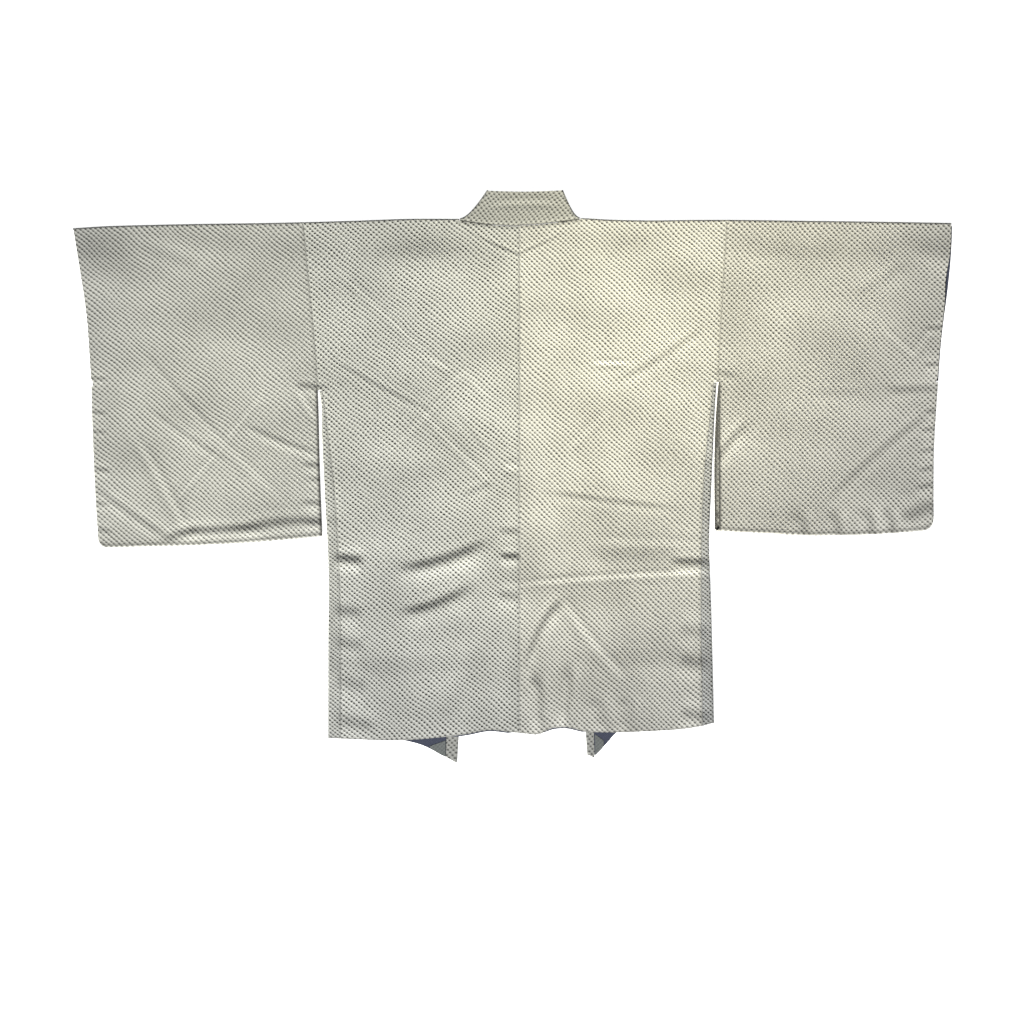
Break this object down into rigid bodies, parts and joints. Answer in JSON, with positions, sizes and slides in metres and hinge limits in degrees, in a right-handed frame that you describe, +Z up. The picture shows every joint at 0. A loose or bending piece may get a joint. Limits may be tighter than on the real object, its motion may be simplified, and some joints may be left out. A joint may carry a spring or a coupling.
{
  "type": "haori jacket",
  "caption": "Hip-length lined silk jacket for wearing over a kimono, laid out flat with its back up; square open-ended sleeves and a turned-back band collar.",
  "frame": {"origin": "middle of the bounding box, on the surface that the jacket lies on", "axes": "+X towards the wearer's right sleeve, +Y towards the neck, +Z up, out of the back of the jacket"},
  "size_m": [1.3004, 0.8466, 0.0132],
  "materials": {
    "shibori_silk": "matte tie-dyed silk crepe, pale cream with small olive-grey dots",
    "lining_silk": "smooth navy silk with a faint sheen",
    "shibori_wrong_side": "matte grey-green wrong side of the shell cloth"
  },
  "bodies": {
    "root": {"body_left": "shibori_silk", "body_right": "shibori_silk", "sleeve_left": "shibori_silk", "sleeve_right": "shibori_silk", "gusset_left": "shibori_silk", "gusset_right": "shibori_silk", "collar": "shibori_silk", "front_lining_left": "lining_silk", "front_lining_right": "lining_silk", "cuff_lining_right": "lining_silk", "hem_facing_left": "shibori_wrong_side", "hem_facing_right": "shibori_wrong_side"}
  },
  "joints": []
}
